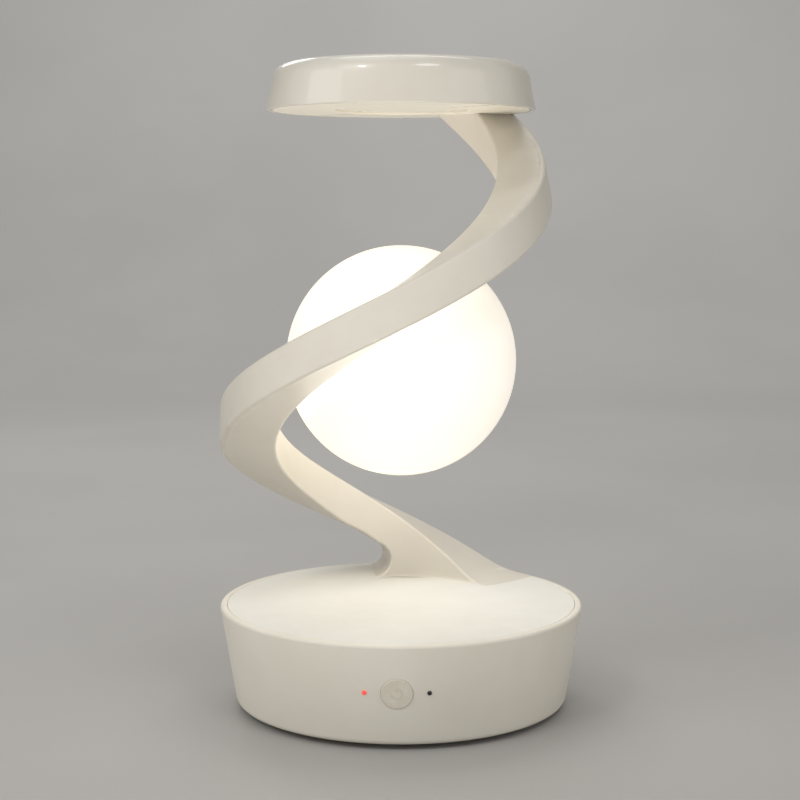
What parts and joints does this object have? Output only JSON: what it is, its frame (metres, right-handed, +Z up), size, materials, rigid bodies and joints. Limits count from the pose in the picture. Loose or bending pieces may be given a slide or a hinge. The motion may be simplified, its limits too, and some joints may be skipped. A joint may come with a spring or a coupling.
{
  "type": "magnetic balance lamp",
  "caption": "Table lamp with a glowing globe floating inside a single spiral arm between a round charging base with a power button and a flat round canopy.",
  "frame": {"origin": "centre of the bounding box on the table, under the middle of the base", "axes": "+Z up through the base, the globe and the canopy, front with the power button at -Y, +X to the right"},
  "size_m": [0.1396, 0.1397, 0.2446],
  "materials": {
    "base_plastic": "fine matt champagne beige",
    "charging_top": "fine matt soft-touch cream",
    "cover_plastic": "matt grey-beige underside",
    "foot_rubber": "matt silicone",
    "steel": "zinc plated",
    "copper": "enamelled copper winding",
    "ferrite": "matt ferrite",
    "circuit_board": "green solder mask",
    "components": "moulded component cases",
    "button_plastic": "satin beige",
    "red_pipe": "glowing red light pipe",
    "dark_pipe": "smoked light pipe",
    "arm_plastic": "satin champagne beige",
    "canopy_plastic": "satin painted beige",
    "canopy_cover": "matt cream",
    "globe_opal": "opal diffuser, glowing warm white",
    "iron": "soft iron",
    "magnet": "nickel plated",
    "lead_jacket": "flexible jacket",
    "white_frame": "white moulded frame",
    "led": "phosphor"
  },
  "bodies": {
    "stand": {"base_shell": "base_plastic", "charging_top_plate": "charging_top", "base_bottom_cover": "cover_plastic", "base_cover_screws": "steel", "foot_ring": "foot_rubber", "ballast_plate": "steel", "main_board": "circuit_board", "board_standoffs": "steel", "board_components": "components", "usb_c_receptacle": "steel", "charging_coil": "copper", "coil_ferrite": "ferrite", "coil_tray": "white_frame", "switch_board": "circuit_board", "tact_switch": "components", "power_light_pipe": "red_pipe", "status_light_pipe": "dark_pipe", "indicator_leds": "led", "switch_board_screws": "steel", "arm_channel": "arm_plastic", "arm_cover": "arm_plastic", "arm_lead": "lead_jacket", "arm_foot_screws": "steel", "arm_tip_screws": "steel", "canopy_shell": "canopy_plastic", "canopy_cover": "canopy_cover", "canopy_chassis": "steel", "canopy_screws": "steel", "canopy_centre_cap": "canopy_cover", "hall_sensor_board": "circuit_board", "electromagnet_core": "iron", "electromagnet_winding": "copper", "power_transmit_coil": "copper", "canopy_driver_board": "circuit_board"},
    "button": {"power_button": "button_plastic", "tact_plunger": "components"},
    "globe": {"globe_shell": "globe_opal", "globe_cap": "globe_opal", "globe_post": "white_frame", "globe_led_board": "circuit_board", "globe_leds": "led", "globe_magnet": "magnet", "power_receive_coil": "copper", "magnet_holder": "white_frame"}
  },
  "joints": [
    {"name": "globe_spin", "type": "hinge", "parent": "stand", "child": "globe", "pos_m": [0, 0, 0.133], "axis": [0, 0, 1], "continuous": true},
    {"name": "power_button", "type": "slide", "parent": "stand", "child": "button", "axis": [0, 0.9867, 0.1627], "range_m": [0, 0.0005], "stiffness_N_per_m": 400}
  ]
}
